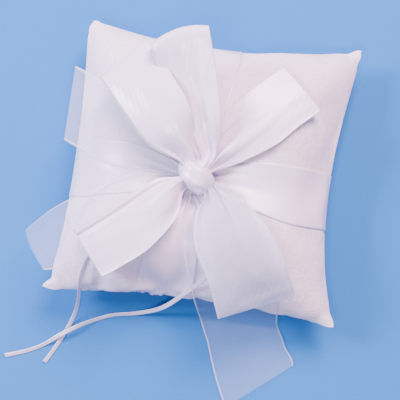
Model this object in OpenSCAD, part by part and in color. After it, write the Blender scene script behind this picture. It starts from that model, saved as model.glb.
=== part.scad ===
// Ring bearer pillow: a square stuffed pillow lying on its back, two satin bands
// across its face, and a satin and organza bow with two narrow ring ribbons.
// +Z points up through the bow, +Y to the pillow's head, origin on the floor.

/* [Pillow] */
// Side of the square from corner tip to corner tip
pillow_side = 190; // [150:1:260]
// Height of the side seam above the surface that the pillow rests on
seam_height = 24; // [18:1:32]
// Rise of the stuffed front above the side seam, before the bands pull it in
front_puff = 43; // [30:1:50]
// Share of that rise that each band pulls in along its length
band_cinch = 0.24; // [0:0.02:0.34]
// Thickness of the cover cloth
cloth = 0.8; // [0.5:0.1:1.2]
// How far the left side draws in between its corners
pull_left = 6.5; // [0:0.5:14]
// How far the right side draws in between its corners
pull_right = 13; // [0:0.5:14]
// How far the head side draws in between its corners
pull_head = 11.5; // [0:0.5:14]
// How far the foot side draws in between its corners
pull_foot = 8.5; // [0:0.5:14]

/* [Wide ribbons] */
// Width of the satin ribbon
satin_w = 38; // [30:1:40]
// Thickness of the satin ribbon
satin_t = 0.7; // [0.4:0.1:1]
// Width of the organza ribbon
organza_w = 50; // [40:1:52]
// Thickness of the organza ribbon
organza_t = 0.5; // [0.4:0.1:0.8]

/* [Ring ribbons] */
// Width of the narrow ribbons that the rings are tied to
ring_ribbon_w = 3; // [2:0.5:3]

/* [Hidden] */

half = pillow_side / 2;
cover_cells = 20;          // grid cells along each side of a cover
back_puff = 31;            // rise of the back below the seam before the floor flattens it
puff_power = 0.42;         // lower is squarer, higher is more tent-like
band_reach = 26;           // how far to each side of a band its pull is felt
band_x = -10;              // middle line of the upright band
band_y = -12;              // middle line of the band across
knot = [-6, -14, 61.5];    // middle of the bow's knot
thread_r = 0.35;
white = "#eee8f2";
satin_white = "#f4eef8";
organza_white = "#c9cfe4";
thread_white = "#f2eef5";

// ---- pillow surface: u and v run from -1 to 1 between opposite sides ----
function pull_x(u, v) = (u < 0 ? pull_left : pull_right) * (1 - v * v);
function pull_y(u, v) = (v < 0 ? pull_foot : pull_head) * (1 - u * u);
function plan(u, v) = [u * (half - pull_x(u, v)), v * (half - pull_y(u, v))];
function puff(u, v) = pow(max(0, (1 - u * u) * (1 - v * v)), puff_power);
function near_band(d) = 1 - band_cinch * exp(-pow(d / band_reach, 2));
function front_rise(u, v) = let (p = plan(u, v))
    front_puff * puff(u, v) * near_band(p.x - band_x) * near_band(p.y - band_y);
function back_drop(u, v) = min(seam_height, back_puff * puff(u, v));

// The u and v of a place in plan, found by repeated division
function uv_at(x, y, u, v, n = 8) = n == 0 ? [u, v]
    : let (next_u = x / (half - pull_x(u, v)), next_v = y / (half - pull_y(u, v)))
      uv_at(x, y, next_u, next_v, n - 1);
function front_z(x, y) = let (p = uv_at(x, y, x / half, y / half))
    seam_height + front_rise(max(-1, min(1, p.x)), max(-1, min(1, p.y)));

// A cover's grid: inset draws it in from the sides, rise says how high it stands
function cover_grid(inset, side, share, lift) =
    [for (i = [0 : cover_cells]) let (u = grid_line(i))
        [for (j = [0 : cover_cells]) let (v = grid_line(j), p = plan(u, v) * (1 - inset / half))
            [p.x, p.y, seam_height + lift
                + share * (side == "front" ? front_rise(u, v) : -back_drop(u, v))]]];
// Grid lines crowd towards the seams, where the cloth turns fastest
function grid_line(i) = sin(90 * (2 * i / cover_cells - 1));

// A closed solid between an upper and a lower grid of points. Each cell is split from its
// corner nearest the middle to the one nearest the grid's own corner, so none lies flat.
module slab(upper, lower) {
    rows = len(upper);
    cols = len(upper[0]);
    n = rows * cols;
    function at(i, j) = i * cols + j;
    function outward(i, j) = (2 * i < rows - 1) == (2 * j < cols - 1);
    skins = [for (i = [0 : rows - 2], j = [0 : cols - 2])
        let (a = at(i, j), b = at(i + 1, j), c = at(i + 1, j + 1), d = at(i, j + 1))
        each outward(i, j)
            ? [[a, d, c], [a, c, b], [n + a, n + c, n + d], [n + a, n + b, n + c]]
            : [[a, d, b], [b, d, c], [n + a, n + b, n + d], [n + b, n + c, n + d]]];
    ends = [for (i = [0 : rows - 2], j = [0, cols - 1])
        let (a = at(i, j), b = at(i + 1, j))
        each j == 0 ? [[a, b, n + b], [a, n + b, n + a]] : [[a, n + b, b], [a, n + a, n + b]]];
    sides = [for (j = [0 : cols - 2], i = [0, rows - 1])
        let (a = at(i, j), b = at(i, j + 1))
        each i == 0 ? [[a, n + b, b], [a, n + a, n + b]] : [[a, b, n + b], [a, n + b, n + a]]];
    polyhedron(points = [for (g = [upper, lower], row = g, p = row) p],
               faces = concat(skins, ends, sides), convexity = 6);
}

// The part of a shape that is above a level
module above(level) {
    intersection() {
        children();
        translate([-pillow_side, -pillow_side, level])
            cube([2 * pillow_side, 2 * pillow_side, 2 * (seam_height + front_puff)]);
    }
}

// ---- smooth curves through hand-chosen stations ----
function curve(a, b, c, d, t) = 0.5 * (2 * b + (c - a) * t
    + (2 * a - 5 * b + 4 * c - d) * t * t + (3 * b - a - 3 * c + d) * t * t * t);
function smooth(st, steps) = let (last = len(st) - 1)
    [for (i = [0 : last - 1], k = [0 : steps - 1])
        curve(st[max(0, i - 1)], st[i], st[i + 1], st[min(last, i + 2)], k / steps), st[last]];
function unit(v) = v / max(norm(v), 0.000001);
function heading(path, i) = unit(path[min(len(path) - 1, i + 1)] - path[max(0, i - 1)]);

// A run of wide ribbon. Each station is [x, y, z, turn, gather, tilt, arch]: the middle of
// the ribbon, the way its left edge lies, the share of its width that shows, how much the
// left edge is raised, and how far its middle stands above its edges.
ribbon_cells = 4;
function across(s) = [cos(s[3]) * cos(s[5]), sin(s[3]) * cos(s[5]), sin(s[5])];
module ribbon(stations, width, thick, steps = 4) {
    line = smooth(stations, steps);
    middle = [for (s = line) [s.x, s.y, s.z]];
    function skin(side) = [for (i = [0 : len(line) - 1])
        let (s = line[i], a = across(s), up = unit(cross(heading(middle, i), a)))
        [for (j = [0 : ribbon_cells]) let (f = 1 - 2 * j / ribbon_cells)
            middle[i] + a * f * s[4] * width / 2 + up * (s[6] * (1 - f * f) + side * thick / 2)]];
    slab(skin(1), skin(-1));
}

// A narrow ribbon that lies free, kept as a plain eight-sided tube along its route
module free_cord(route, d, steps = 2) {
    path = smooth(route, steps);
    sides = 8;
    n = len(path);
    apart = [1, -0.6, 0.4];    // no stretch of either route runs this way
    rings = [for (i = [0 : n - 1])
        let (t = heading(path, i), a = unit(cross(t, apart)), b = cross(t, a))
        for (k = [0 : sides - 1])
            path[i] + (a * cos(360 * k / sides) + b * sin(360 * k / sides)) * d / 2];
    walls = [for (i = [0 : n - 2], k = [0 : sides - 1])
        let (a = i * sides + k, b = i * sides + (k + 1) % sides)
        each [[a, b, b + sides], [a, b + sides, a + sides]]];
    caps = [[for (k = [0 : sides - 1]) sides - 1 - k],
            [for (k = [0 : sides - 1]) (n - 1) * sides + k]];
    polyhedron(points = rings, faces = concat(walls, caps), convexity = 8);
}

// ---- pillow ----
module cover_front() {
    color(white)
        difference() {
            above(seam_height)
                slab(cover_grid(0, "front", 1, 0), cover_grid(0, "front", 0, -2));
            slab(cover_grid(cloth, "front", 1 - cloth / front_puff, 0),
                 cover_grid(cloth, "front", 0, -1));
        }
}

// The back bulges too, and the floor flattens it. The cut joins its flat into one face.
module cover_back() {
    color(white)
        above(-cloth)
            slab(cover_grid(cloth, "back", 1 - cloth / seam_height, 0),
                 cover_grid(0, "back", 1, 0));
}

// Loose polyester fibre, a little smaller than the covers all round
fill_inset = cloth + 1.6;
fill_share = 0.96;
fill_edge = 0.5;
module fibre_filling() {
    color("#f7f7f7")
        slab(cover_grid(fill_inset, "front", fill_share, fill_edge),
             cover_grid(fill_inset, "back", fill_share - cloth / seam_height, -fill_edge));
}

// The line of machine stitches that joins the covers, just inside the seam
module seam_thread() {
    function rim(inset) = [for (s = [0 : 3], i = [0 : cover_cells - 1])
        let (t = grid_line(i), q = [[t, -1], [1, t], [-t, 1], [-1, -t]][s])
        plan(q.x, q.y) * (1 - inset / half)];
    color(thread_white)
        translate([0, 0, seam_height - thread_r])
            linear_extrude(2 * thread_r)
                difference() {
                    polygon(rim(cloth + 0.3));
                    polygon(rim(cloth + 0.3 + 2 * thread_r));
                }
}

// Hand stitches that close the gap the filling went in through, in the foot seam
closing_from = -56;
closing_to = -14;
closing_pitch = 6;
module closing_stitches() {
    color(thread_white)
        for (x = [closing_from : closing_pitch : closing_to]) {
            y = -(half - pull_y(x / half, -1)) - thread_r - 0.15;
            translate([x, y, seam_height])
                cylinder(h = 2.4, r = thread_r, center = true, $fn = 16);
        }
}

// ---- satin bands: stations are [place along the pillow, low edge, high edge] ----
band_lift = 0.3;
band_columns = 4;
module band(stations, upright, over) {
    line = smooth(stations, 5);
    function skin(extra) = [for (s = line)
        [for (j = [0 : band_columns])
            let (e = s[1] + (s[2] - s[1]) * j / band_columns,
                 p = upright ? [e, s[0]] : [s[0], e],
                 mid = exp(-pow(norm(p - [knot.x, knot.y]) / 30, 2)))
            [p.x, p.y, front_z(p.x, p.y) + band_lift + over * mid + extra]]];
    if (upright) slab(skin(0), skin(satin_t));
    else slab(skin(satin_t), skin(0));
}

module satin_band_across() {
    color(satin_white)
        band([[-88.2, -31, 7], [-74, -32, 6], [-50, -30, 4], [-26, -23, -2], [-6, -19, -8],
              [16, -25, -3], [36, -32, 1], [56, -36, 2], [72, -35, 4], [81.8, -33, 5]],
             false, 0);
}

module satin_band_upright() {
    color(satin_white)
        band([[-86.2, -36, 0], [-76, -36, 1], [-60, -32, 1], [-38, -24, 0], [-14, -12, 1],
              [8, -15, 3], [30, -20, 7], [52, -24, 11], [70, -25, 13], [83.3, -25, 13]],
             true, 1.1);
}

// ---- satin bow ----
module satin_knot() {
    color(satin_white)
        translate(knot)
            rotate([0, 0, -45])
                scale([11, 9, 8.2])
                    sphere(r = 1, $fn = 28);
}

module satin_loop_top() {
    color(satin_white)
        ribbon([[-1, -1, 63, 186, 0.3, 0, 0], [-9, 16, 63.5, 188, 0.75, -8, 2],
                [-17, 40, 65, 194, 0.97, -14, 2], [-24, 62, 69, 200, 1, -14, 1],
                [-28, 73, 76.5, 200, 1, -14, 0],
                [-25, 64, 84, 200, 1, -16, 1], [-18, 41, 83, 194, 0.97, -18, 2],
                [-9, 16, 77, 188, 0.78, -12, 3], [-1, -1, 69, 186, 0.34, 0, 1]],
               satin_w, satin_t);
}

module satin_loop_left() {
    color(satin_white)
        ribbon([[-12, -3, 62, 226, 0.3, 0, 0], [-26, 12, 65, 222, 0.85, -6, 1],
                [-41, 30, 67, 226, 1, -6, 1], [-56, 48, 66, 228, 1, -4, 0],
                [-62, 55, 68.5, 228, 1, -3, 0],
                [-56, 48, 72.5, 228, 1, -5, 1], [-41, 30, 76.5, 226, 1, -9, 2],
                [-26, 12, 76, 222, 0.88, -10, 2], [-12, -3, 67, 226, 0.34, 0, 1]],
               satin_w, satin_t);
}

module satin_tail_right() {
    color(satin_white)
        ribbon([[3, -5, 60, 125, 0.27, 0, 1], [11, 8, 60, 133, 0.72, 0, 2],
                [28, 25, 62, 136, 1, 0, 2], [42, 40, 60.5, 136, 1, 0, 2],
                [55, 53, 56, 136, 1, 0, 2]],
               satin_w, satin_t);
}

module satin_tail_left() {
    color(satin_white)
        ribbon([[-16, -21, 61, -58, 0.3, 0, -1], [-24, -32, 62.5, -49, 0.75, 0, -3],
                [-41, -51, 63, -46, 0.95, 0, -2], [-56, -63, 59, -49, 0.96, 0, -2],
                [-68, -71, 53.5, -51, 0.95, 0, -1.5]],
               satin_w, satin_t);
}

// ---- organza bow ----
// The short piece of organza round the knot; its two ends meet underneath
wrap_w = 15;
wrap_clear = 1.2;
module organza_centre_wrap() {
    steps = 14;
    color(organza_white)
        ribbon([for (i = [0 : steps]) let (a = -80 + 340 * i / steps, r = 11 + wrap_clear)
                   [knot.x + r * cos(a) * cos(-45), knot.y + r * cos(a) * sin(-45),
                    knot.z + (8.2 + wrap_clear) * sin(a), 45, 1, 0, 0]],
               wrap_w, organza_t, 2);
}

module organza_loop_left() {
    color(organza_white)
        ribbon([[-19, -10, 57, 262, 0.22, 0, 0], [-33, -2, 58, 266, 0.5, 0, 0],
                [-61, 10, 58, 268, 0.94, 0, 1], [-80, 19, 54.5, 270, 1, 0, 0],
                [-94, 25, 55.5, 270, 1, 0, 0],
                [-80, 19, 59.5, 270, 1, 0, 0], [-61, 10, 62.5, 268, 0.94, 0, 0.5],
                [-33, -2, 61.5, 266, 0.5, 0, 0], [-19, -10, 59.5, 262, 0.22, 0, 0]],
               organza_w, organza_t);
}

module organza_loop_right() {
    color(organza_white)
        ribbon([[5, -22, 60.5, 45, 0.22, 0, 0], [12, -34, 62, 24, 0.66, 0, 1],
                [22, -53, 62.5, 19, 0.97, 0, 1], [33, -71, 57, 19, 1, 0, 0],
                [39, -84, 48, 23, 1, 0, 0],
                [42, -91, 45, 24, 1, 0, 0],
                [40, -85, 52.5, 23, 1, 0, 0], [33, -71, 63, 19, 1, 0, 1],
                [22, -53, 69, 19, 0.97, 0, 2], [12, -34, 68, 24, 0.66, 0, 2],
                [5, -22, 63, 45, 0.24, 0, 1]],
               organza_w, organza_t);
}

module organza_tail_left() {
    color(organza_white)
        ribbon([[-18, -20, 57.5, -80, 0.22, 0, 0], [-40, -32, 58, -84, 0.72, 0, 0],
                [-67, -48, 51.5, -84, 0.82, 0, 1], [-87, -59, 44.5, -80, 0.86, 12, 3],
                [-105, -71, 36, -54, 0.86, 38, 4]],
               organza_w, organza_t);
}

module organza_tail_front() {
    color(organza_white)
        ribbon([[-3, -27, 57.5, 10, 0.22, 0, 0], [7, -45, 58.5, 10, 0.68, 0, 0],
                [19, -67, 54.5, 6, 1, 0, 0], [26, -82, 45, 2, 1.08, 0, 0],
                [28.5, -89.5, 35, -1, 1.12, 0, 0], [30, -94, 16, -2, 1.13, 0, 0],
                [32, -98, 2.5, 0, 1.12, 0, 0], [36, -105, 0.8, 2, 1.1, 0, 0],
                [41, -115, 0.8, 6, 1.08, 0, 0], [52, -138, 0.8, 39, 1.06, 0, 0]],
               organza_w, organza_t);
}

// ---- hand stitches under the bow ----
module stitch(length, turn) {
    rotate([0, 90, turn])
        cylinder(h = length, r = thread_r, center = true, $fn = 16);
}

// Four stitches that tack the crossing of the bands to the cover
tack_z = 51.2;
module bow_tacking() {
    color(thread_white)
        for (x = [-4, 4], y = [-2.5, 2.5])
            translate([knot.x + x, knot.y + y, tack_z])
                stitch(3.4, 90);
}

// One stitch across the sewn end of each ring ribbon
module ring_ribbon_tacking() {
    color(thread_white) {
        translate([-14, -22.8, 55.4])
            stitch(5, -45);
        translate([-7, -27, 55.9])
            stitch(5, 0);
    }
}

// ---- ring ribbons: round numbers along the way each one lies ----
short_route = [[-12, -21, 53.2], [-20, -28, 53.6], [-32, -39, 55.8], [-46, -51, 55.6],
               [-58, -62, 52], [-66, -70, 47.8], [-70, -77, 43.5], [-72, -84, 38],
               [-72.5, -90, 31.5], [-73, -94, 24], [-73, -95.5, 15], [-73, -97, 6],
               [-73.5, -100, 1.8], [-75, -106, 1.6], [-78, -115, 1.6], [-82, -124, 1.6],
               [-87, -132, 1.6], [-92, -140, 1.6]];
long_route = [[-7, -25, 53.4], [-7, -36, 54.2], [-6, -50, 53.6], [-5, -62, 50.8],
              [-4, -72, 46.2], [-5, -80, 41.2], [-6, -86.5, 34.5], [-8, -90.5, 26],
              [-11, -92.5, 17], [-14, -93.5, 8], [-19, -94.5, 2.2], [-28, -97, 1.6],
              [-40, -100.5, 1.6], [-52, -103, 1.6], [-64, -108.5, 2.6], [-72, -113, 4.4],
              [-79, -117.5, 5], [-86, -122.5, 4.4], [-94, -128.5, 2.4], [-104, -134, 1.6],
              [-119, -139, 1.6]];

module ring_ribbon_short() {
    color(satin_white)
        free_cord(short_route, ring_ribbon_w);
}

module ring_ribbon_long() {
    color(satin_white)
        free_cord(long_route, ring_ribbon_w);
}

cover_front();
cover_back();
fibre_filling();
seam_thread();
closing_stitches();
satin_band_across();
satin_band_upright();
satin_knot();
satin_loop_top();
satin_loop_left();
satin_tail_right();
satin_tail_left();
organza_centre_wrap();
organza_loop_left();
organza_loop_right();
organza_tail_left();
organza_tail_front();
bow_tacking();
ring_ribbon_long();
ring_ribbon_short();
ring_ribbon_tacking();
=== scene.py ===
import math

import bmesh
import bpy
import numpy as np
from mathutils import Matrix, Vector
from mathutils.bvhtree import BVHTree


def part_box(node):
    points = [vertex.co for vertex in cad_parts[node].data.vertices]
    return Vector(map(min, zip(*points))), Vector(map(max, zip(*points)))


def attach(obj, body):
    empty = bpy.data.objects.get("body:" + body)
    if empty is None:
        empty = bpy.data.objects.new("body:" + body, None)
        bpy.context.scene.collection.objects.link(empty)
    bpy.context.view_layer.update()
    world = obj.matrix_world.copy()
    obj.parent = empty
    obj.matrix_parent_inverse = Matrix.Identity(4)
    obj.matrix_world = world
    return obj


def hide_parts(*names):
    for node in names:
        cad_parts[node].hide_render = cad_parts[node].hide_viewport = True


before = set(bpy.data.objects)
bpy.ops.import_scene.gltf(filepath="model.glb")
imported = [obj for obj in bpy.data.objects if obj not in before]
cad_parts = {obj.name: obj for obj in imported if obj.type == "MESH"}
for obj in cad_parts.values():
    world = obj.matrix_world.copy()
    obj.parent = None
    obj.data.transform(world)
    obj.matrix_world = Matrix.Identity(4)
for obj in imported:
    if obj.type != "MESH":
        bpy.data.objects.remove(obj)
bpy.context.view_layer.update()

mm = 0.001
knot = np.array([-6.0, -14.0, 61.5]) * mm
seam_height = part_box("cover_front")[0][2]


# ---- Camera ----
# It looks almost straight down on the pillow, a little from the foot side and a few
# degrees round to the right, as a person holding the pillow out would see it.
camera_turn = math.radians(7.3)
camera_rise = math.radians(78.6)
camera_distance = 0.799
look_at = Vector((-0.0026, -0.022, seam_height))

towards = Vector((math.sin(camera_turn) * math.cos(camera_rise),
                  -math.cos(camera_turn) * math.cos(camera_rise),
                  math.sin(camera_rise)))
rightwards = Vector((math.cos(camera_turn), math.sin(camera_turn), 0))
upwards = towards.cross(rightwards)
camera_data = bpy.data.cameras.new("camera")
camera_data.sensor_width = 36
camera_data.lens = 108
camera = bpy.data.objects.new("camera", camera_data)
bpy.context.scene.collection.objects.link(camera)
camera.matrix_world = (Matrix.Translation(look_at + towards * camera_distance)
                       @ Matrix((rightwards, upwards, towards)).transposed().to_4x4())
bpy.context.scene.camera = camera


# ---- Ring ribbons ----
# Two lengths of 3 mm double-face satin ribbon, tacked under the bow at one end and cut
# bare at the other. The wedding rings are tied to them. They run out under the bow, drop
# over the pillow's foot and left corner, cross once and lie loose on the table.
def smooth(stations, steps):
    """Points on a smooth curve through the stations, with the given steps between each."""
    st = np.array(stations, float)
    last = len(st) - 1
    line = []
    for i in range(last):
        a, b, c, d = st[max(0, i - 1)], st[i], st[i + 1], st[min(last, i + 2)]
        for t in np.arange(steps) / steps:
            line.append(0.5 * (2 * b + (c - a) * t + (2 * a - 5 * b + 4 * c - d) * t * t
                               + (3 * b - a - 3 * c + d) * t ** 3))
    return np.array(line + [st[-1]])


def unit(v):
    return v / np.maximum(np.linalg.norm(v, axis=-1, keepdims=True), 1e-12)


def headings(line):
    return unit(np.gradient(line, axis=0))


def woven_strip(name, grid, thick, width):
    """A closed strip of ribbon from a grid of points, (along, across, 3), in metres. Its UV
    map holds the place across and along the woven ribbon in metres."""
    grid = np.asarray(grid)
    rows, cols = grid.shape[:2]
    along, across = np.gradient(grid, axis=0), np.gradient(grid, axis=1)
    up = unit(np.cross(across, along))
    points = np.concatenate([(grid + up * thick / 2).reshape(-1, 3),
                             (grid - up * thick / 2).reshape(-1, 3)])
    n = rows * cols
    at = np.arange(n).reshape(rows, cols)
    a, b, c, d = at[:-1, :-1], at[1:, :-1], at[1:, 1:], at[:-1, 1:]
    top = np.stack([a, d, c, b], -1).reshape(-1, 4)
    faces = [top, n + top[:, ::-1]]
    for rim in (at[:, 0], at[-1, :], at[::-1, -1], at[0, ::-1]):
        faces.append(np.stack([rim[:-1], rim[1:], n + rim[1:], n + rim[:-1]], -1))
    mesh = bpy.data.meshes.new(name)
    mesh.from_pydata(points.tolist(), [], np.concatenate(faces).tolist())
    step = np.linalg.norm(np.diff(grid[:, cols // 2], axis=0), axis=1)
    place = np.stack(np.meshgrid(np.concatenate([[0], np.cumsum(step)]),
                                 np.linspace(0, width, cols), indexing="ij"), -1)
    place = np.tile(place.reshape(-1, 2)[:, ::-1], (2, 1))
    corners = np.empty(len(mesh.loops), int)
    mesh.loops.foreach_get("vertex_index", corners)
    mesh.uv_layers.new(name="ribbon").data.foreach_set("uv", place[corners].ravel())
    mesh.shade_smooth()
    piece = bpy.data.objects.new(name, mesh)
    bpy.context.scene.collection.objects.link(piece)
    return piece


def linear(hex_colour):
    """An sRGB hex colour as the linear red, green, blue and alpha that Blender takes."""
    parts = [int(hex_colour[i:i + 2], 16) / 255 for i in (1, 3, 5)]
    return [p / 12.92 if p <= 0.04045 else ((p + 0.055) / 1.055) ** 2.4 for p in parts] + [1]


def add(tree, kind, inputs=None, **settings):
    """Adds a node with its settings; an input takes a value or another node's socket."""
    node = tree.nodes.new(kind)
    for name, value in settings.items():
        setattr(node, name, value)
    for name, value in (inputs or {}).items():
        if isinstance(value, bpy.types.NodeSocket):
            tree.links.new(value, node.inputs[name])
        else:
            node.inputs[name].default_value = value
    return node


def new_material(name):
    material = bpy.data.materials.new(name)
    material.use_nodes = True
    material.node_tree.nodes.clear()
    return material, material.node_tree


def satin_ribbon(name, width, thread_pitch):
    """Woven satin: long floats of bright thread run along the ribbon, so it is smooth and
    lustrous, and a fine woven edge holds each side. Its soft streaked highlight is painted
    into the colour as lighter streaks running along the ribbon."""
    material, tree = new_material(name)
    uv = add(tree, "ShaderNodeUVMap", uv_map="ribbon")
    place = add(tree, "ShaderNodeSeparateXYZ", {"Vector": uv.outputs[0]})
    # the floats, drawn several times coarser than the real thread so that they show
    floats = add(tree, "ShaderNodeTexNoise",
                 {"Vector": add(tree, "ShaderNodeMapping", {
                     "Vector": uv.outputs[0],
                     "Scale": (1 / thread_pitch, 0.06 / thread_pitch, 1)}).outputs[0],
                  "Scale": 1.0, "Detail": 2.0})
    # painted sheen: lighter and darker streaks along the ribbon, painted into the colour in
    # place of the satin's streaked highlight
    painted_sheen_streaks = add(tree, "ShaderNodeTexNoise",
                 {"Vector": add(tree, "ShaderNodeMapping", {
                     "Vector": uv.outputs[0], "Scale": (90, 25, 1)}).outputs[0],
                  "Scale": 1.0, "Detail": 3.0})
    # how near the place is to either woven edge
    centred = add(tree, "ShaderNodeMath", {0: place.outputs["X"], 1: width / 2},
                  operation="SUBTRACT")
    off_centre = add(tree, "ShaderNodeMath", {0: centred.outputs[0]}, operation="ABSOLUTE")
    edge = add(tree, "ShaderNodeMapRange", {
        "Value": off_centre.outputs[0], "From Min": width / 2 - 1.1 * mm,
        "From Max": width / 2 - 0.4 * mm})
    # the lighter colour here is the painted highlight of the sheen streaks
    colour = add(tree, "ShaderNodeMix", {
        "Factor": painted_sheen_streaks.outputs[0], 6: linear("#e6d5ef"), 7: linear("#f3e4f8")},
        data_type="RGBA")
    edged = add(tree, "ShaderNodeMix", {
        "Factor": edge.outputs[0], 6: colour.outputs[2], 7: linear("#e2dcea")},
        data_type="RGBA")
    rough = add(tree, "ShaderNodeMapRange", {
        "Value": floats.outputs[0], "To Min": 0.22, "To Max": 0.32})
    height = add(tree, "ShaderNodeMath", {
        0: edge.outputs[0], 1: 1.5, 2: floats.outputs[0]}, operation="MULTIPLY_ADD")
    bump = add(tree, "ShaderNodeBump", {
        "Height": height.outputs[0], "Strength": 0.25, "Distance": 0.1 * mm})
    tangent = add(tree, "ShaderNodeTangent", direction_type="UV_MAP", uv_map="ribbon")
    shader = add(tree, "ShaderNodeBsdfPrincipled", {
        "Base Color": edged.outputs[2], "Roughness": rough.outputs[0],
        "Normal": bump.outputs[0], "Tangent": tangent.outputs[0],
        "Anisotropic": 0.5, "Anisotropic Rotation": 0.25, "Specular IOR Level": 0.8})
    add(tree, "ShaderNodeOutputMaterial", {"Surface": shader.outputs[0]})
    return material


ring_ribbon_width = 3 * mm
ring_ribbon_thick = 0.25 * mm
ring_satin = satin_ribbon("double_face_satin", ring_ribbon_width, 0.35 * mm)
short_route = np.array([
    [-12, -21, 53.2], [-20, -28, 54.2], [-32, -39, 57.5], [-46, -51, 58.4],
    [-58, -62, 55.4], [-66, -70, 50.4], [-70, -77, 45.4], [-72, -84, 39.6],
    [-72.8, -90, 32], [-73.4, -95, 22], [-74.4, -99.5, 12.5], [-76, -105, 5.5],
    [-78.6, -112, 2.4], [-82, -120, 1.7], [-85.5, -128, 1.6], [-89, -134.5, 1.6],
    [-92, -140, 1.6]]) * mm
long_route = np.array([
    [-7, -25, 53.4], [1, -36, 54.6], [8, -50, 56], [12, -60, 54.5],
    [12.5, -68, 50.5], [9, -75, 45.5], [3, -80.5, 40], [-3.5, -85.5, 32.5],
    [-9.5, -90, 25], [-15, -93.6, 17], [-21, -96.2, 9.5], [-29, -98.5, 4],
    [-40, -101, 2], [-52, -103, 1.6], [-64, -108.5, 2.6], [-72, -113, 4.4],
    [-79, -117.5, 5], [-86, -122.5, 4.4], [-94, -128.5, 2.4], [-104, -134, 1.6],
    [-119, -139, 1.6]]) * mm


def ring_ribbon(name, node, route, turns):
    """A narrow ribbon along its route. turns says how far it has twisted about its own
    line, in degrees from flat, at places shared out evenly along it."""
    line = smooth(route, 8)
    for _ in range(24):            # a ribbon takes no sharp bend
        line[1:-1] = 0.5 * line[1:-1] + 0.25 * (line[:-2] + line[2:])
    # where it nears the table it settles down to its own thickness
    above_table = np.maximum(line[:, 2] - 2.2 * mm, 0)
    line[:, 2] -= np.clip(1.2 * mm - above_table * 0.5, 0, 1)
    ahead = headings(line)
    face_direction = [0.25, -0.35, 0.9]
    flat = unit(np.cross(ahead, face_direction))
    lifted = np.cross(flat, ahead)
    angle = np.radians(np.interp(np.linspace(0, 1, len(line)),
                                 np.linspace(0, 1, len(turns)), turns))[:, None]
    side = flat * np.cos(angle) + lifted * np.sin(angle)
    # no edge goes below the table
    half_rise = np.abs(side[:, 2]) * ring_ribbon_width / 2 + ring_ribbon_thick
    line[:, 2] = np.maximum(line[:, 2], half_rise)
    spread = np.linspace(-0.5, 0.5, 5)[None, :, None] * ring_ribbon_width
    piece = woven_strip(name, line[:, None] + side[:, None] * spread, ring_ribbon_thick,
                        ring_ribbon_width)
    piece.data.materials.append(ring_satin)
    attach(piece, "root")
    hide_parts(node)
    return piece


ring_ribbon("ring_ribbon_short_satin", "ring_ribbon_short", short_route,
            [0, 0, 10, 20, 30, 40, 25, 12, 8, 15, 10])
ring_ribbon("ring_ribbon_long_satin", "ring_ribbon_long", long_route,
            [0, 0, -5, -10, -25, -25, 5, 20, 10, -10, 15, 5])


# ---- Pillow covers ----
# Two squares of matt white woven cloth, sewn together right sides in, turned and stuffed.
# The stuffing rounds them, draws the sides in and leaves small gathers along the seam.
panel = 202 * mm                   # the sewn square before it is stuffed
half_side = 95 * mm                # from the middle to a corner's level once stuffed
panel_cells = 88
# how far each side is drawn in at its middle, how that leans to one end, and how much of
# the puckers its seam keeps: the foot seam, closed by hand, keeps the most
side_shape = {"left": (6 * mm, -0.15, 0.25), "right": (13 * mm, -0.35, 0.15),
              "head": (12 * mm, 0.0, 0.1), "foot": (7.5 * mm, -0.2, 0.6)}
front_puff = 43 * mm
back_puff = 31 * mm


def flat_panels():
    """The two squares as one mesh, joined along their sides, with a little air between."""
    line = np.linspace(-1, 1, panel_cells + 1)
    u, v = np.meshgrid(line, line, indexing="ij")
    air = 4 * mm
    rise = air * np.sqrt((1 - u * u) * (1 - v * v))
    rim = (np.abs(u) == 1) | (np.abs(v) == 1)
    front = np.arange(u.size).reshape(u.shape)
    back = front.copy()
    back[~rim] = u.size + np.arange((~rim).sum())
    ends = [np.stack([u * panel / 2, v * panel / 2, rise], -1).reshape(-1, 3),
            np.stack([u * panel / 2, v * panel / 2, -rise], -1)[~rim]]
    faces = []
    for at, order in ((front, (0, 1, 2, 3)), (back, (3, 2, 1, 0))):
        quads = np.stack([at[:-1, :-1], at[1:, :-1], at[1:, 1:], at[:-1, 1:]], -1)
        faces.append(quads.reshape(-1, 4)[:, order])
    return np.concatenate(ends), np.concatenate(faces), front, back, u, v


def inflate(points, faces):
    """The panels filled out by a short cloth simulation with pressure inside them."""
    mesh = bpy.data.meshes.new("panels")
    mesh.from_pydata(points.tolist(), [], faces.tolist())
    body = bpy.data.objects.new("panels", mesh)
    bpy.context.scene.collection.objects.link(body)
    cloth = body.modifiers.new("cloth", "CLOTH")
    setting = cloth.settings
    setting.quality = 6
    setting.mass = 0.0003
    setting.tension_stiffness = 15
    setting.compression_stiffness = 15
    setting.shear_stiffness = 5
    setting.bending_stiffness = 0.05
    setting.use_pressure = True
    setting.uniform_pressure_force = 6
    setting.effector_weights.gravity = 0
    cloth.collision_settings.use_collision = False
    last_frame = 25
    for number in range(1, last_frame + 1):
        bpy.context.scene.frame_set(number)
    done = body.evaluated_get(bpy.context.evaluated_depsgraph_get())
    result = np.empty(len(points) * 3)
    done.data.vertices.foreach_get("co", result)
    bpy.data.objects.remove(body)
    bpy.context.scene.frame_set(1)
    return result.reshape(-1, 3)


panel_points, panel_faces, front_at, back_at, panel_u, panel_v = flat_panels()
stuffed = inflate(panel_points, panel_faces)


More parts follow.
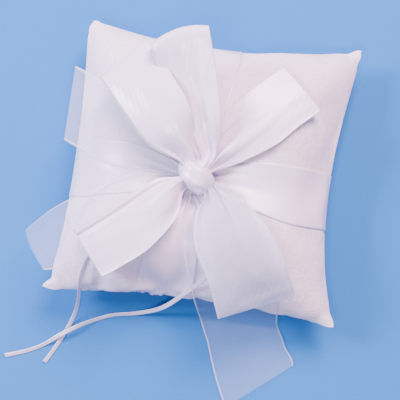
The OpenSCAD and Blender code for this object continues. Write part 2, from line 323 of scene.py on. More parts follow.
def even_out(stuffed):
    """Brings the filled panels to the pillow's own size: corners at half_side, each side
    drawn in as it is on the real one, and both panels at their own height."""
    x, y, z = stuffed.T.copy()
    # the stuffing irons out the finest wrinkles, and fewer of them near the foot seam
    clear_of_foot = np.clip(panel_v[1:-1, 1:-1] * 2 + 1, 0, 1)
    passes_everywhere, passes = 6, 36
    for at in (front_at, back_at):
        inner = at[1:-1, 1:-1]
        for number in range(passes):
            share = 0.6 if number < passes_everywhere else 0.6 * clear_of_foot
            for own in (x, y, z):
                for edge in (at[0], at[-1], at[:, -1]):
                    beside = own[edge[2:]] + own[edge[:-2]]
                    own[edge[1:-1]] = 0.4 * own[edge[1:-1]] + 0.3 * beside
                beside = own[at[2:, 1:-1]] + own[at[:-2, 1:-1]]
                beside += own[at[1:-1, 2:]] + own[at[1:-1, :-2]]
                own[inner] += share * (beside / 4 - own[inner])
    corner = np.abs(stuffed[front_at[[0, 0, -1, -1], [0, -1, 0, -1]], :2]).mean()
    x, y = x * half_side / corner, y * half_side / corner
    even = np.linspace(-half_side, half_side, 96)
    for own, other, low, high in ((x, y, "left", "right"), (y, x, "foot", "head")):
        for sign, side in ((-1, low), (1, high)):
            edge = {"left": front_at[0], "right": front_at[-1],
                    "foot": front_at[:, 0], "head": front_at[:, -1]}[side]
            order = edge[np.argsort(other[edge])]
            now = np.interp(even, other[order], own[order] * sign)
            trend = np.convolve(np.pad(now, 9, mode="edge"), np.ones(19) / 19, "valid")
            pull, lean, puckers = side_shape[side]
            t = even / half_side
            wanted = half_side - pull * (1 - t * t) * (1 + lean * t)
            stretch = wanted / (puckers * trend + (1 - puckers) * now)
            mine = own * sign > 0
            own[mine] *= np.interp(other[mine], even, stretch)
    middle = front_at[panel_cells // 2, panel_cells // 2]
    z = np.where(z > 0, z * front_puff / z[middle], z * back_puff / z.max())
    return np.stack([x, y, z], -1)


shaped = even_out(stuffed)
seam_wander = 1.5 * mm
rim = front_at[(np.abs(panel_u) == 1) | (np.abs(panel_v) == 1)]
shaped[rim, 2] = np.clip(shaped[rim, 2], -seam_wander, seam_wander)
# turned corners are blunt ears with a crease behind them, and each leans its own way
ear_blunt, ear_reach, crease_back, crease_wide = 7 * mm, 6.5 * mm, 11 * mm, 3.5 * mm
for way_x, way_y, lean_x, lean_y, crease in ((-1, 1, 3, 0, 0.5), (1, 1, 0.5, 2.5, 1.0),
                                             (-1, -1, -5, 3, 1.1), (1, -1, 1.5, -1, 0.7)):
    tip = shaped[front_at[0 if way_x < 0 else -1, 0 if way_y < 0 else -1], :2].copy()
    past = (shaped[:, :2] - tip) * [way_x, way_y] + ear_blunt
    blunt = np.where((past > 0).all(1), past.max(1) / np.maximum(np.hypot(*past.T), 1e-9), 1)
    shaped[:, :2] += past * (blunt[:, None] - 1) * [way_x, way_y]
    back = tip - shaped[:, :2]
    from_tip = np.linalg.norm(back, axis=1)
    near = np.exp(-(from_tip / ear_reach) ** 2)[:, None]
    neck = crease * np.exp(-((from_tip - crease_back) / crease_wide) ** 2)
    diagonal = np.array([way_x, way_y]) * math.sqrt(0.5)
    beside = back - (back @ diagonal)[:, None] * diagonal
    shaped[:, :2] += beside * neck[:, None] * 0.22
    shaped[:, 2] -= neck * np.clip(shaped[:, 2], 0, None) * 0.35
    shaped[:, :2] += near * np.array([lean_x, lean_y]) * mm
# the two bands press a shallow valley each way over the front
band_cinch = 0.24
band_reach = 26 * mm
cinch = ((1 - band_cinch * np.exp(-((shaped[:, 0] + 10 * mm) / band_reach) ** 2))
         * (1 - band_cinch * np.exp(-((shaped[:, 1] + 12 * mm) / band_reach) ** 2)))
shaped[:, 2] = seam_height + np.where(shaped[:, 2] > 0, shaped[:, 2] * cinch, shaped[:, 2])
# the table flattens the underside, with a soft turn at the edge of the flat
soft = 1.2 * mm
low = shaped[:, 2] - soft
shaped[:, 2] = np.where(low < soft * 3, soft * np.logaddexp(0, low / soft), shaped[:, 2])
shaped[:, 2] = np.maximum(shaped[:, 2] - 0.12 * mm, 0)


def matt_cotton():
    """Plain-woven cotton with a slight slub: dull, soft to the eye, faintly streaked both
    ways, with no gloss and a fine crinkle where the stuffing pulls at it."""
    material, tree = new_material("matt_cotton")
    place = add(tree, "ShaderNodeTexCoord").outputs["Object"]
    # threads are 0.3 mm apart; they are drawn at 0.9 mm so that they show
    thread_pitch = 0.9 * mm
    slub = []
    for stretch in ((0.05, 1, 1), (1, 0.05, 1)):
        slub.append(add(tree, "ShaderNodeTexNoise", {
            "Vector": add(tree, "ShaderNodeMapping", {
                "Vector": place, "Scale": stretch}).outputs[0],
            "Scale": 1 / thread_pitch, "Detail": 3.0, "Roughness": 0.6}).outputs[0])
    weave = add(tree, "ShaderNodeMath", {0: slub[0], 1: slub[1]}, operation="MULTIPLY")
    crinkle = add(tree, "ShaderNodeTexNoise", {
        "Vector": place, "Scale": 1 / (9 * mm), "Detail": 4.0, "Roughness": 0.55})
    colour = add(tree, "ShaderNodeMix", {
        "Factor": add(tree, "ShaderNodeMapRange", {
            "Value": weave.outputs[0], "From Min": 0.15, "From Max": 0.38}).outputs[0],
        6: linear("#e2d0e3"), 7: linear("#f9e9f6")}, data_type="RGBA")
    height = add(tree, "ShaderNodeMath", {
        0: crinkle.outputs[0], 1: 2.2, 2: weave.outputs[0]}, operation="MULTIPLY_ADD")
    bump = add(tree, "ShaderNodeBump", {
        "Height": height.outputs[0], "Strength": 0.8, "Distance": 0.4 * mm})
    shader = add(tree, "ShaderNodeBsdfPrincipled", {
        "Base Color": colour.outputs[2], "Roughness": 0.92, "Normal": bump.outputs[0],
        "Specular IOR Level": 0.25, "Sheen Weight": 0.25, "Sheen Roughness": 0.5})
    add(tree, "ShaderNodeOutputMaterial", {"Surface": shader.outputs[0]})
    return material


cover_cloth = matt_cotton()
cloth_thick = 0.45 * mm


def cover(name, node, faces):
    """One panel of the stuffed pair as its own closed piece of cloth."""
    used, corners = np.unique(faces, return_inverse=True)
    mesh = bpy.data.meshes.new(name)
    mesh.from_pydata(shaped[used].tolist(), [], corners.reshape(-1, 4).tolist())
    mesh.shade_smooth()
    piece = bpy.data.objects.new(name, mesh)
    bpy.context.scene.collection.objects.link(piece)
    subdivide = piece.modifiers.new("subdivide", "SUBSURF")
    subdivide.levels = subdivide.render_levels = 1
    subdivide.boundary_smooth = "PRESERVE_CORNERS"
    solidify = piece.modifiers.new("cloth", "SOLIDIFY")
    solidify.thickness = cloth_thick
    solidify.offset = -1
    mesh.materials.append(cover_cloth)
    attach(piece, "root")
    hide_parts(node)
    return piece


front_faces, back_faces = np.split(panel_faces, 2)
cover_front = cover("cover_front_cloth", "cover_front", front_faces)
cover("cover_back_cloth", "cover_back", back_faces)
bpy.context.view_layer.update()
front_skin = BVHTree.FromObject(cover_front, bpy.context.evaluated_depsgraph_get())


def on_pillow(x, y, elsewhere=0.0):
    """How high the pillow's front is at a place, or elsewhere beyond its sides."""
    well_above = 300 * mm
    hit = front_skin.ray_cast(Vector((x, y, well_above)), Vector((0, 0, -1)))[0]
    return elsewhere if hit is None else hit.z


# ---- Fibre filling ----
# A loose block of white polyester fibre, a little smaller than the covers, which it pushes
# out. Nothing fastens it; it was pushed in through the side that is now sewn shut.
filling_mesh = bpy.data.meshes.new("fibre_filling_wad")
filling_mesh.from_pydata(shaped.tolist(), [], panel_faces.tolist())
wad = bmesh.new()
wad.from_mesh(filling_mesh)
wad_share = 0.965
for vertex in wad.verts:
    tuft = 0.5 + 0.5 * math.sin(vertex.co.x / (2.3 * mm)) * math.sin(vertex.co.y / (2.9 * mm))
    vertex.co = Vector((vertex.co.x * wad_share, vertex.co.y * wad_share, vertex.co.z))
    vertex.co -= vertex.normal * (2.2 + 1.2 * tuft) * mm
for _ in range(6):
    bmesh.ops.smooth_vert(wad, verts=wad.verts, factor=0.5, use_axis_x=True, use_axis_y=True,
                          use_axis_z=True)
wad.to_mesh(filling_mesh)
wad.free()
filling_mesh.shade_smooth()
filling = bpy.data.objects.new("fibre_filling_wad", filling_mesh)
bpy.context.scene.collection.objects.link(filling)
fibre, tree = new_material("polyester_fibre")
# crimped fibres lie in every direction, so it is soft, white and has no shine
crimp = add(tree, "ShaderNodeTexNoise", {
    "Vector": add(tree, "ShaderNodeTexCoord").outputs["Object"],
    "Scale": 1 / (1.5 * mm), "Detail": 5.0, "Roughness": 0.7, "Distortion": 1.5})
fibre_colour = add(tree, "ShaderNodeMix", {
    "Factor": crimp.outputs[0], 6: linear("#e9e9ee"), 7: linear("#fbfbfb")}, data_type="RGBA")
fibre_bump = add(tree, "ShaderNodeBump", {
    "Height": crimp.outputs[0], "Strength": 0.9, "Distance": 1 * mm})
shader = add(tree, "ShaderNodeBsdfPrincipled", {
    "Base Color": fibre_colour.outputs[2], "Roughness": 1.0, "Normal": fibre_bump.outputs[0],
    "Specular IOR Level": 0.1, "Sheen Weight": 0.3})
add(tree, "ShaderNodeOutputMaterial", {"Surface": shader.outputs[0]})
filling_mesh.materials.append(fibre)
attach(filling, "root")
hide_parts("fibre_filling")


# ---- Thread ----
# White polyester thread. A close row joins the two covers all round, eight hand stitches
# close the gap in the foot seam, and longer ones tack the bow and ring ribbons down.
def stitch_nodes():
    """Sweeps a round thread along every edge it is given, each raised in the middle along
    the edge's own out direction."""
    group = bpy.data.node_groups.new("stitches", "GeometryNodeTree")
    for label, kind in (("Geometry", "Geometry"), ("Thread", "Float"), ("Bulge", "Float"),
                        ("Material", "Material")):
        group.interface.new_socket(label, in_out="INPUT", socket_type="NodeSocket" + kind)
    group.interface.new_socket("Geometry", in_out="OUTPUT", socket_type="NodeSocketGeometry")
    given = add(group, "NodeGroupInput")
    curve = add(group, "GeometryNodeMeshToCurve", {"Mesh": given.outputs["Geometry"]})
    finer = add(group, "GeometryNodeResampleCurve", {"Curve": curve.outputs[0], "Count": 5})
    along = add(group, "GeometryNodeSplineParameter")
    left = add(group, "ShaderNodeMath", {0: 1.0, 1: along.outputs["Factor"]},
               operation="SUBTRACT")
    hump = add(group, "ShaderNodeMath", {0: along.outputs["Factor"], 1: left.outputs[0]},
               operation="MULTIPLY")
    raised = add(group, "ShaderNodeMath", {0: hump.outputs[0], 1: given.outputs["Bulge"]},
                 operation="MULTIPLY")
    out = add(group, "GeometryNodeInputNamedAttribute", {"Name": "out"},
              data_type="FLOAT_VECTOR")
    offset = add(group, "ShaderNodeVectorMath",
                 {0: out.outputs["Attribute"], "Scale": raised.outputs[0]}, operation="SCALE")
    bent = add(group, "GeometryNodeSetPosition", {
        "Geometry": finer.outputs[0], "Offset": offset.outputs[0]})
    section = add(group, "GeometryNodeCurvePrimitiveCircle", {
        "Resolution": 6, "Radius": given.outputs["Thread"]})
    swept = add(group, "GeometryNodeCurveToMesh", {
        "Curve": bent.outputs[0], "Profile Curve": section.outputs[0], "Fill Caps": True})
    real = add(group, "GeometryNodeRealizeInstances", {"Geometry": swept.outputs[0]})
    painted = add(group, "GeometryNodeSetMaterial", {
        "Geometry": real.outputs[0], "Material": given.outputs["Material"]})
    add(group, "NodeGroupOutput", {"Geometry": painted.outputs[0]})
    return group


thread_white, tree = new_material("polyester_thread")
# two plies twisted together; the slight light and dark bands along them are a painted
# highlight on the plies and painted shade in the grooves between them, with a matching bump
ply = add(tree, "ShaderNodeTexWave", {
    "Vector": add(tree, "ShaderNodeTexCoord").outputs["Object"], "Scale": 1 / (2.5 * mm),
    "Distortion": 1.0}, bands_direction="DIAGONAL")
# painted light and shade: lighter on the crowns of the plies, darker in the grooves between
# them
ply_groove_shade_colour = add(tree, "ShaderNodeMix", {
    "Factor": ply.outputs["Fac"], 6: linear("#dcd6e0"), 7: linear("#f5f1f6")},
    data_type="RGBA")
ply_bump = add(tree, "ShaderNodeBump", {
    "Height": ply.outputs["Fac"], "Strength": 0.4, "Distance": 0.1 * mm})
shader = add(tree, "ShaderNodeBsdfPrincipled", {
    "Base Color": ply_groove_shade_colour.outputs[2], "Roughness": 0.55, "Normal": ply_bump.outputs[0]})
add(tree, "ShaderNodeOutputMaterial", {"Surface": shader.outputs[0]})
stitch_tree = stitch_nodes()


def stitches(name, node, ends, out, thick, bulge):
    """Thread along each pair of ends, with its own outward direction."""
    mesh = bpy.data.meshes.new(name)
    pairs = [(2 * i, 2 * i + 1) for i in range(len(ends))]
    mesh.from_pydata(np.asarray(ends).reshape(-1, 3).tolist(), pairs, [])
    direction = mesh.attributes.new("out", "FLOAT_VECTOR", "POINT")
    direction.data.foreach_set("vector", np.repeat(np.asarray(out), 2, 0).ravel())
    piece = bpy.data.objects.new(name, mesh)
    bpy.context.scene.collection.objects.link(piece)
    maker = piece.modifiers.new("stitches", "NODES")
    maker.node_group = stitch_tree
    value = {"Thread": thick / 2, "Bulge": 4 * bulge, "Material": thread_white}
    for socket in stitch_tree.interface.items_tree:
        if socket.in_out == "INPUT" and socket.name in value:
            maker[socket.identifier] = value[socket.name]
    bpy.context.view_layer.update()
    made = bpy.data.meshes.new_from_object(
        piece.evaluated_get(bpy.context.evaluated_depsgraph_get()))
    piece.modifiers.clear()
    piece.data = made
    made.shade_smooth()
    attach(piece, "root")
    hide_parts(node)
    return piece


thread_thick = 0.6 * mm
stitch_pitch, stitch_length, seam_inset = 3 * mm, 2.4 * mm, 1.3 * mm
around = np.concatenate([front_at[:-1, 0], front_at[-1, :-1], front_at[:0:-1, -1],
                         front_at[0, :0:-1]])
seam_line = shaped[np.append(around, around[0])].copy()
seam_line[:, :2] *= 1 - seam_inset / half_side
run = np.concatenate([[0], np.cumsum(np.linalg.norm(np.diff(seam_line, axis=0), axis=1))])
starts = np.arange(0, run[-1] - stitch_length - 0.2 * mm, stitch_pitch)
seam_ends = [[[np.interp(at, run, seam_line[:, axis]) for axis in range(3)]
              for at in (start, start + stitch_length)] for start in starts]
inward = -unit(np.array(seam_ends).mean(1) * [1, 1, 0])
stitches("seam_thread_row", "seam_thread", seam_ends, inward, thread_thick, 0.2 * mm)

foot_edge = shaped[front_at[:, 0]]


def on_foot_seam(x):
    return [x, np.interp(x, foot_edge[:, 0], foot_edge[:, 1]) - 0.1 * mm,
            np.interp(x, foot_edge[:, 0], foot_edge[:, 2])]


closing = [[on_foot_seam((x - 1.4) * mm), on_foot_seam((x + 1.4) * mm)]
           for x in range(-56, -10, 6)]
stitches("closing_stitch_row", "closing_stitches", closing, [[0, -1, 0]] * len(closing),
         thread_thick, 0.5 * mm)

# four short stitches under the knot, and one over each ring ribbon's end
tack_height = 51 * mm
tacks = [[[knot[0] + i * 4 * mm, knot[1] + (j * 2.5 + half) * mm, tack_height]
          for half in (-1.7, 1.7)] for i in (-1, 1) for j in (-1, 1)]
stitches("bow_tacking_stitches", "bow_tacking", tacks, [[0, 0, 1]] * 4, thread_thick, 0.5 * mm)
slant = 2.5 * math.sqrt(0.5) * mm
ribbon_tacks = [[[-14 * mm - slant, -22.8 * mm + slant, 55.2 * mm],
                 [-14 * mm + slant, -22.8 * mm - slant, 55.2 * mm]],
                [[-9.5 * mm, -27 * mm, 55.7 * mm], [-4.5 * mm, -27 * mm, 55.7 * mm]]]
stitches("ring_ribbon_tacking_stitches", "ring_ribbon_tacking", ribbon_tacks,
         [[0, 0, 1]] * 2, thread_thick, 0.5 * mm)


# ---- Satin bands ----
# Two lengths of 38 mm single-face satin ribbon cross the front. Their ends are caught in
# the side seams, and the bow's knot gathers them where they cross.
satin_width = 38 * mm
satin_thick = 0.35 * mm
satin = satin_ribbon("single_face_satin", satin_width, 0.6 * mm)


def seam_place(axis, side, at):
    """Where the seam of one side is, across the pillow's other direction."""
    other = 1 - axis
    last = 0 if side < 0 else -1
    points = shaped[front_at[last] if axis == 0 else front_at[:, last]]
    order = np.argsort(points[:, other])
    return np.interp(at, points[order, other], points[order, axis])


def band(name, node, stations, upright, lift):
    """A band over the pillow's front. Each station is its place along the band and where
    its two edges are; it lies on the cloth and bridges the hollows."""
    line = smooth(stations, 14) * mm
    cols = 25
    share = np.linspace(0, 1, cols)
    along = np.repeat(line[:, :1], cols, 1)
    beside = line[:, 1:2] + (line[:, 2:3] - line[:, 1:2]) * share
    axis = 1 if upright else 0
    for side in (-1, 1):
        mine = np.sign(along) == side
        reach = abs(line[0 if side < 0 else -1, 0])
        seam = np.abs(seam_place(axis, side, beside))
        along = np.where(mine, along * (seam + 0.2 * mm) / reach, along)
    x, y = (beside, along) if upright else (along, beside)
    high = np.array([[on_pillow(a, b, np.nan) for a, b in zip(*row)] for row in zip(x, y)])
    high = np.where(np.isnan(high), seam_height, high)
    blur = np.exp(-(np.arange(-8, 9) / 3.0) ** 2)
    taut = np.stack([np.convolve(np.pad(c, 8, mode="edge"), blur / blur.sum(), "valid")
                     for c in high.T], 1)
    z = np.maximum(taut, high) + lift
    # three soft pleats run out from under the knot
    away = np.hypot(x - knot[0], y - knot[1])
    gather = np.exp(-(away / (24 * mm)) ** 2)
    z += gather * 0.9 * mm * (1 + np.cos(share * 2 * math.pi * 3 + 0.8))
    # both ends go down into the seam
    ends = np.minimum(np.abs(along - along.min(0)), np.abs(along - along.max(0)))
    z = np.where(ends < 0.1 * mm, seam_height + 0.2 * mm, z)
    piece = woven_strip(name, np.stack([x, y, z], -1), satin_thick, satin_width)
    piece.data.materials.append(satin)
    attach(piece, "root")
    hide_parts(node)
    return piece


band("satin_band_across_ribbon", "satin_band_across",
     [[-88.2, -31, 7], [-74, -32, 6], [-50, -30, 4], [-26, -23, -2], [-6, -19, -8],
      [16, -25, -3], [36, -32, 1], [56, -36, 2], [72, -35, 4], [81.8, -33, 5]],
     False, 0.35 * mm)
band("satin_band_upright_ribbon", "satin_band_upright",
     [[-86.2, -36, 0], [-76, -36, 1], [-60, -32, 1], [-38, -24, 0], [-14, -12, 1],
      [8, -15, 3], [30, -20, 7], [52, -24, 11], [70, -25, 13], [83.3, -25, 13]],
     True, 0.75 * mm)


# ---- Satin bow ----
# One 38 mm satin ribbon tied in a bow: two loops to the head side and the left, two tails
# cut straight across. Tying gathers the ribbon into pleats that fan out from the knot.
def bow_ribbon(stations, width, pleats, reach, folds=(), curl=0.0, crown=0.0, crinkle=0.1,
               steps=10):
    """A grid of points for a run of ribbon out of the knot. A station is [x, y, z, turn,
    gather, tilt, arch] in mm and degrees. Where the ribbon is gathered, its spare width
    stands up in the pleats, which die out over the reach in mm. A fold is [where across,
    how wide, how deep in mm, how far out it narrows to nothing in mm]. curl lifts both
    edges, crown rounds a loop's end and crinkle roughens the cloth, in mm."""
    # each end goes on a little way into the knot
    rows = [list(row) for row in stations]
    tucked = [rows[0], rows[-1]] if rows[-1][4] < 0.5 else [rows[0]]
    for row in tucked:
        inner = [row[i] + 0.6 * (knot[i] / mm - row[i]) for i in (0, 1, 2)]
        inner += [row[3], row[4] * 0.8, row[5], row[6]]
        rows.insert(0 if row is rows[0] else len(rows), inner)
    line = smooth(rows, steps)
    middle = line[:, :3] * mm
    turn, tilt, gather = np.radians(line[:, 3:4]), np.radians(line[:, 5:6]), line[:, 4:5]
    side = np.concatenate([np.cos(turn) * np.cos(tilt), np.sin(turn) * np.cos(tilt),
                           np.sin(tilt)], 1)
    up = unit(np.cross(headings(middle), side))
    level = np.clip(up[:, 2:3] * 1.6, -1, 1)
    f = np.linspace(1, -1, 61)
    away = np.linalg.norm(middle - knot, axis=1)[:, None] / mm
    spare = np.sqrt(np.clip(1 / gather ** 2 - 1, 0, 8))
    deepest_pleat = 2.4
    depth = np.minimum(0.15 * spare * gather * width / mm / pleats, deepest_pleat)
    # pleats of uneven width and height, with a slower wave that carries on further out
    wave = math.pi * pleats * (f + 0.09 * np.sin(4.1 * f + pleats))
    sharp = np.cos(wave) + 0.22 * np.cos(2 * wave + 0.5)
    uneven = 1 + 0.35 * np.sin(5.3 * f + 2 * pleats)
    slow = np.cos(0.5 * wave + 0.9)
    rise = (depth * sharp * uneven * np.exp(-(away / reach) ** 2)
            + 0.9 * depth * slow * np.exp(-(away / (1.8 * reach)) ** 4)
            + np.abs(line[:, 6:7]) * (1 - f ** 2))
    run = np.arange(len(line))[:, None] / steps
    rise = rise + crinkle * np.clip((away - 12) / 20, 0, 1) * (
        np.sin(7.1 * f + 1.7 * np.sin(2.3 * run) + pleats) * np.sin(3.7 * run + 4.3 * f)
        + 0.6 * np.sin(13.7 * f - 5.9 * run + reach) * np.sin(8.3 * run - 3.1 * f * run))
    clear_of_knot = np.clip((away - 9) / 9, 0, 1)
    rise = rise + curl * clear_of_knot * np.abs(f) ** 5
    for where, wide, deep, far in folds:
        taper = np.clip(1.1 - away / far, 0, 1)
        rise = rise + (deep * clear_of_knot * taper
                       * np.exp(-((f - where) / (wide * (0.25 + 0.75 * taper))) ** 4))
    outward = unit(middle - knot) * [1, 1, 0]
    round_end = -crown * f ** 2 * np.exp(-((away - away.max()) / 12) ** 2)
    return (middle[:, None] + side[:, None] * (f[:, None] * gather[:, None] * width / 2)
            + (up * level)[:, None] * rise[..., None] * mm
            + outward[:, None] * round_end[..., None] * mm)


def clear_of_pillow(grid, gap):
    """Lifts what would be inside the pillow until it lies on it with that gap."""
    for row in grid:
        for p in row:
            p[2] = max(p[2], on_pillow(p[0], p[1], 0.0) + gap)
    return grid


def satin_run(name, node, stations, held, pleats, reach, **shape):
    """A loop or tail of the satin bow, lying over the bands."""
    grid = bow_ribbon(stations, satin_width, pleats, reach, **shape)
    grid = clear_of_pillow(grid, 1.6 * mm)
    piece = woven_strip(name, grid, satin_thick, satin_width)
    piece.data.materials.append(satin)
    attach(piece, "root")
    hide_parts(node)
    return piece


satin_run("satin_loop_top_ribbon", "satin_loop_top",
          [[-1, -1, 63, 186, 0.3, 0, 0], [-9, 16, 63.5, 188, 0.75, -8, 2],
           [-17, 40, 65, 194, 0.97, -14, 2], [-24, 62, 71, 200, 1, -14, 1],
           [-28, 74, 81, 200, 1, -13, 0],
           [-26.5, 68, 88.5, 200, 1, -13, 1], [-18, 43, 77, 194, 0.97, -15, 2],
           [-9, 17, 72, 188, 0.78, -12, 3], [-1, -1, 67, 186, 0.34, 0, 1]],
          "folded", pleats=2, reach=20, crown=4,
          folds=[[-0.22, 0.46, -8, 56], [0.6, 0.5, 1.5, 80]])
satin_run("satin_loop_left_ribbon", "satin_loop_left",
          [[-12, -3, 62, 226, 0.3, 0, 0], [-26, 12, 65, 222, 0.85, -6, 1],
           [-41, 30, 67, 226, 1, -6, 1], [-56, 48, 66, 228, 1, -4, 0],
           [-62, 55, 68.5, 228, 1, -3, 0],
           [-56, 48, 72.5, 228, 1, -5, 1], [-41, 30, 77, 226, 1, -11, 2],
           [-26, 12, 77, 222, 0.88, -14, 2], [-12, -3, 67, 226, 0.34, 0, 1]],
          "folded", pleats=2, reach=18, crown=0.5)
satin_run("satin_tail_right_ribbon", "satin_tail_right",
          [[3, -5, 60, 125, 0.27, 0, 1], [11, 8, 60, 133, 0.72, 0, 2],
           [28, 25, 62, 136, 1, 0, 2], [42, 40, 60.5, 136, 1, 0, 2],
           [55, 53, 56, 136, 1, 0, 2]],
          "gathered", pleats=2, reach=20, curl=0.8,
          folds=[[0.3, 0.36, -8, 50], [-0.25, 0.4, 2.5, 60]])
satin_run("satin_tail_left_ribbon", "satin_tail_left",
          [[-16, -21, 60, -58, 0.3, 0, -1], [-24, -32, 62.5, -49, 0.75, 0, -3],
           [-41, -51, 63, -46, 0.95, 0, -2], [-56, -63, 59, -49, 0.96, 0, -2],
           [-68, -71, 53.5, -51, 0.95, 0, -1.5]],
          "gathered", pleats=2, reach=15, curl=1.5,
          folds=[[-0.7, 0.09, -1.8, 300], [0.1, 0.9, 4.5, 38]])

# The hidden heart of the knot, where the satin is pulled tight round itself. It lies
# slantwise, and the organza that covers it later goes round it the same way.
knot_along = np.array([math.sqrt(0.5), -math.sqrt(0.5), 0])
knot_across = np.array([math.sqrt(0.5), math.sqrt(0.5), 0])
knot_up = np.array([0, 0, 1])
half_length, half_width, half_height = 11 * mm, 9 * mm, 8.2 * mm
heart = []
for angle in np.linspace(0, 2 * math.pi, 49):
    ring = []
    for place in np.linspace(-1, 1, 17):
        crease = 1 + 0.06 * math.cos(5 * angle + 3 * place)
        girth = math.sqrt(max(0.02, 1 - place ** 2 * 0.93)) * crease
        ring.append(knot + knot_along * (half_length * place)
                    + knot_across * (half_width * girth * math.cos(angle))
                    + knot_up * (half_height * girth * math.sin(angle)))
    heart.append(ring)
piece = woven_strip("satin_knot_ribbon", heart, satin_thick, satin_width)
piece.data.materials.append(satin)
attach(piece, "root")
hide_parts("satin_knot")


# ---- Organza bow ----
# One 50 mm organza ribbon: sheer, crisp and slightly shiny, with a close-woven edge. It is
# tied with the satin, loop on loop, and a short piece of it covers the knot.
organza_width = 50 * mm
organza_thick = 0.15 * mm


def organza_ribbon(name, width, cover):
    """Plain-woven sheer organza: fine stiff threads with gaps between, so what is behind
    shows through; closer-woven and whiter along each edge."""
    material, tree = new_material(name)
    uv = add(tree, "ShaderNodeUVMap", uv_map="ribbon")
    place = add(tree, "ShaderNodeSeparateXYZ", {"Vector": uv.outputs[0]})
    centred = add(tree, "ShaderNodeMath", {0: place.outputs["X"], 1: width / 2},
                  operation="SUBTRACT")
    off_centre = add(tree, "ShaderNodeMath", {0: centred.outputs[0]}, operation="ABSOLUTE")
    edge = add(tree, "ShaderNodeMapRange", {
        "Value": off_centre.outputs[0], "From Min": width / 2 - 1.1 * mm,
        "From Max": width / 2 - 0.7 * mm})
    # the real threads are 0.15 mm apart; they are drawn at 0.7 mm so that they show
    drawn_threads_per_metre = 1400
    threads = add(tree, "ShaderNodeTexNoise", {
        "Vector": add(tree, "ShaderNodeMapping", {
            "Vector": uv.outputs[0],
            "Scale": (drawn_threads_per_metre, drawn_threads_per_metre, 1)}).outputs[0],
        "Scale": 1.0, "Detail": 2.0})
    cloud = add(tree, "ShaderNodeTexNoise", {
        "Vector": uv.outputs[0], "Scale": 60.0, "Detail": 3.0})
    sheer = add(tree, "ShaderNodeMapRange", {
        "Value": threads.outputs[0], "From Min": 0.3, "From Max": 0.7,
        "To Min": cover * 0.75, "To Max": cover * 0.95})
    shade = add(tree, "ShaderNodeMath", {
        0: cloud.outputs[0], 1: cover * 0.3, 2: sheer.outputs[0]}, operation="MULTIPLY_ADD")
    alpha = add(tree, "ShaderNodeMath", {
        0: edge.outputs[0], 1: 0.32, 2: shade.outputs[0]}, operation="MULTIPLY_ADD",
        use_clamp=True)
    bump = add(tree, "ShaderNodeBump", {
        "Height": threads.outputs[0], "Strength": 0.2, "Distance": 0.1 * mm})
    shader = add(tree, "ShaderNodeBsdfPrincipled", {
        "Base Color": linear("#e2e2f6"), "Roughness": 0.45, "Normal": bump.outputs[0],
        "Alpha": alpha.outputs[0], "Specular IOR Level": 0.5, "Sheen Weight": 0.4})
    add(tree, "ShaderNodeOutputMaterial", {"Surface": shader.outputs[0]})
    return material


# the same organza gets more or less cover piece by piece: partly for where it doubles or is
# crushed, and partly to make each piece look lighter where it stood in light and darker where
# it stood in shade, which is painted light and shade
organza_double = organza_ribbon("sheer_organza_double", organza_width, 0.38)
organza_raised = organza_ribbon("sheer_organza_raised", organza_width, 0.11)
organza_loop = organza_ribbon("sheer_organza_loop", organza_width, 0.085)
organza_crushed = organza_ribbon("sheer_organza_crushed", organza_width, 0.62)
organza_flat = organza_ribbon("sheer_organza_flat", organza_width, 0.07)


def organza_run(name, node, stations, cloth, gap=2.5, crinkle=0.22):
    """A loop or tail of the organza bow, clear of the pillow by the gap in mm."""
    grid = bow_ribbon(stations, organza_width, pleats=5, reach=32, crinkle=crinkle)
    grid = clear_of_pillow(grid, gap * mm)
    above_table = 0.4 * mm
    grid[..., 2] = np.maximum(grid[..., 2], above_table)
    piece = woven_strip(name, grid, organza_thick, organza_width)
    piece.data.materials.append(cloth)
    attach(piece, "root")
    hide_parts(node)
    return piece


organza_run("organza_loop_left_ribbon", "organza_loop_left",
            [[-19, -10, 57, 262, 0.22, 0, 0], [-33, -2, 58, 266, 0.5, 0, 0],
             [-61, 10, 58, 268, 0.94, 0, 1], [-80, 19, 54.5, 270, 1, 0, 0],
             [-94, 25, 55.5, 270, 1, 0, 0],
             [-80, 19, 59.5, 270, 1, 0, 0], [-61, 10, 62.5, 268, 0.94, 0, 0.5],
             [-33, -2, 61.5, 266, 0.5, 0, 0], [-19, -10, 59.5, 262, 0.22, 0, 0]],
            organza_loop)
organza_run("organza_loop_right_ribbon", "organza_loop_right",
            [[5, -22, 60.5, 45, 0.22, 0, 0], [12, -34, 62, 24, 0.66, 0, 1],
             [22, -53, 62.5, 19, 0.97, 0, 1], [33, -71, 57, 19, 1, 0, 0],
             [39, -84, 48, 23, 1, 0, 0], [42, -91, 45, 24, 1, 0, 0],
             [40, -85, 52.5, 23, 1, 0, 0], [33, -71, 63, 19, 1, 0, 1],
             [22, -53, 69, 19, 0.97, 0, 2], [12, -34, 68, 24, 0.66, 0, 2],
             [5, -22, 63, 45, 0.24, 0, 1]],
            organza_double, gap=3)
organza_run("organza_tail_left_ribbon", "organza_tail_left",
            [[-18, -20, 57.5, -80, 0.22, 0, 0], [-40, -32, 58, -84, 0.72, 0, 0],
             [-67, -48, 51.5, -84, 0.82, 0, 1], [-87, -59, 44.5, -80, 0.86, 12, 3],
             [-105, -71, 36, -54, 0.86, 38, 4]],
            organza_raised)
organza_run("organza_tail_front_ribbon", "organza_tail_front",
            [[-3, -27, 60.5, 10, 0.22, 0, 0], [7, -45, 59.5, 10, 0.68, 0, 0],
             [19, -67, 54.5, 6, 1, 0, 0], [26, -82, 45, 2, 1.08, 0, 0],
             [29, -89.5, 35, -1, 1.1, 0, 0], [31, -94, 16, -2, 1.08, 0, 0],
             [33.5, -98, 2.5, 0, 1.06, 0, 0], [37, -105, 0.8, 2, 1.06, 0, 0],
             [41.7, -115, 0.8, 6, 1.05, 0, 0], [52, -138, 0.8, 39, 1.06, 0, 0]],
            organza_flat, gap=1.4, crinkle=0.12)

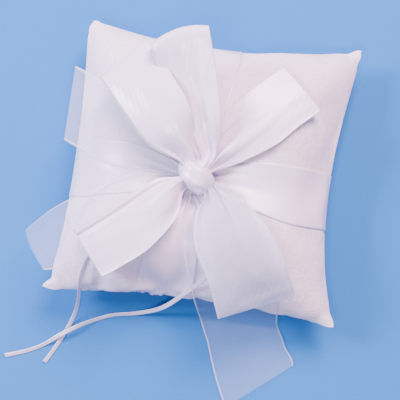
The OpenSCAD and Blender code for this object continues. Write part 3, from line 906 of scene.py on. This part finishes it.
# The piece that covers the knot: wrapped over it and crushed into lengthwise creases
wrap = []
for angle in np.radians(np.linspace(-50, 230, 57)):
    row = []
    for place in np.linspace(-1, 1, 37):
        crush = (0.35 * math.cos(9 * place + 1.2 * math.sin(angle + 0.4))
                 + 0.2 * math.cos(21 * place - 2 * math.sin(angle)))
        out = 12.8 + crush - 1.5 * place ** 4
        high = 6.6 + crush - 5.5 * abs(place) ** 3
        wide = 8.6 * place * (0.6 + 0.4 * max(0, math.sin(angle)) ** 0.7)
        row.append(knot + (knot_along * (out * math.cos(angle)) + knot_across * wide
                           + knot_up * (high * math.sin(angle))) * mm)
    wrap.append(row)
piece = woven_strip("organza_centre_wrap_ribbon", wrap, organza_thick, organza_width)
piece.data.materials.append(organza_crushed)
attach(piece, "root")
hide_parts("organza_centre_wrap")


# ---- Floor and light ----
# A plain pale blue tabletop, a warm soft light from the head side and a cooler one from
# the left.
floor_mesh = bpy.data.meshes.new("floor")
floor_mesh.from_pydata([(-3, -3, 0), (3, -3, 0), (3, 3, 0), (-3, 3, 0)], [], [(0, 1, 2, 3)])
floor = bpy.data.objects.new("floor", floor_mesh)
bpy.context.scene.collection.objects.link(floor)
floor_paint, tree = new_material("pale_blue_card")
grain = add(tree, "ShaderNodeTexNoise", {
    "Vector": add(tree, "ShaderNodeTexCoord").outputs["Object"], "Scale": 400.0})
tone = add(tree, "ShaderNodeMix", {
    "Factor": grain.outputs[0], 6: linear("#2f74b6"), 7: linear("#3378b9")}, data_type="RGBA")
shader = add(tree, "ShaderNodeBsdfPrincipled", {
    "Base Color": tone.outputs[2], "Roughness": 0.9, "Specular IOR Level": 0.1})
add(tree, "ShaderNodeOutputMaterial", {"Surface": shader.outputs[0]})
floor_mesh.materials.append(floor_paint)

for name, place, size, power, tint in (
        ("warm", (0.25, 0.85, 1.15), 0.7, 66, "#ffd8e3"),
        ("cool", (-1.1, 0.15, 0.9), 0.45, 44, "#e0e2ff"),
        ("top", (-0.12, -0.6, 1.25), 0.25, 9, "#fff0f6")):
    light = bpy.data.lights.new(name, "AREA")
    light.size = size
    light.energy = power
    light.color = linear(tint)[:3]
    lamp = bpy.data.objects.new(name, light)
    lamp.location = place
    lamp.rotation_euler = Vector(place).to_track_quat("Z", "Y").to_euler()
    bpy.context.scene.collection.objects.link(lamp)
world = bpy.data.worlds.new("studio")
world.use_nodes = True
backdrop = world.node_tree.nodes["Background"]
backdrop.inputs["Color"].default_value = linear("#c6ccfa")
backdrop.inputs["Strength"].default_value = 0.47
bpy.context.scene.world = world
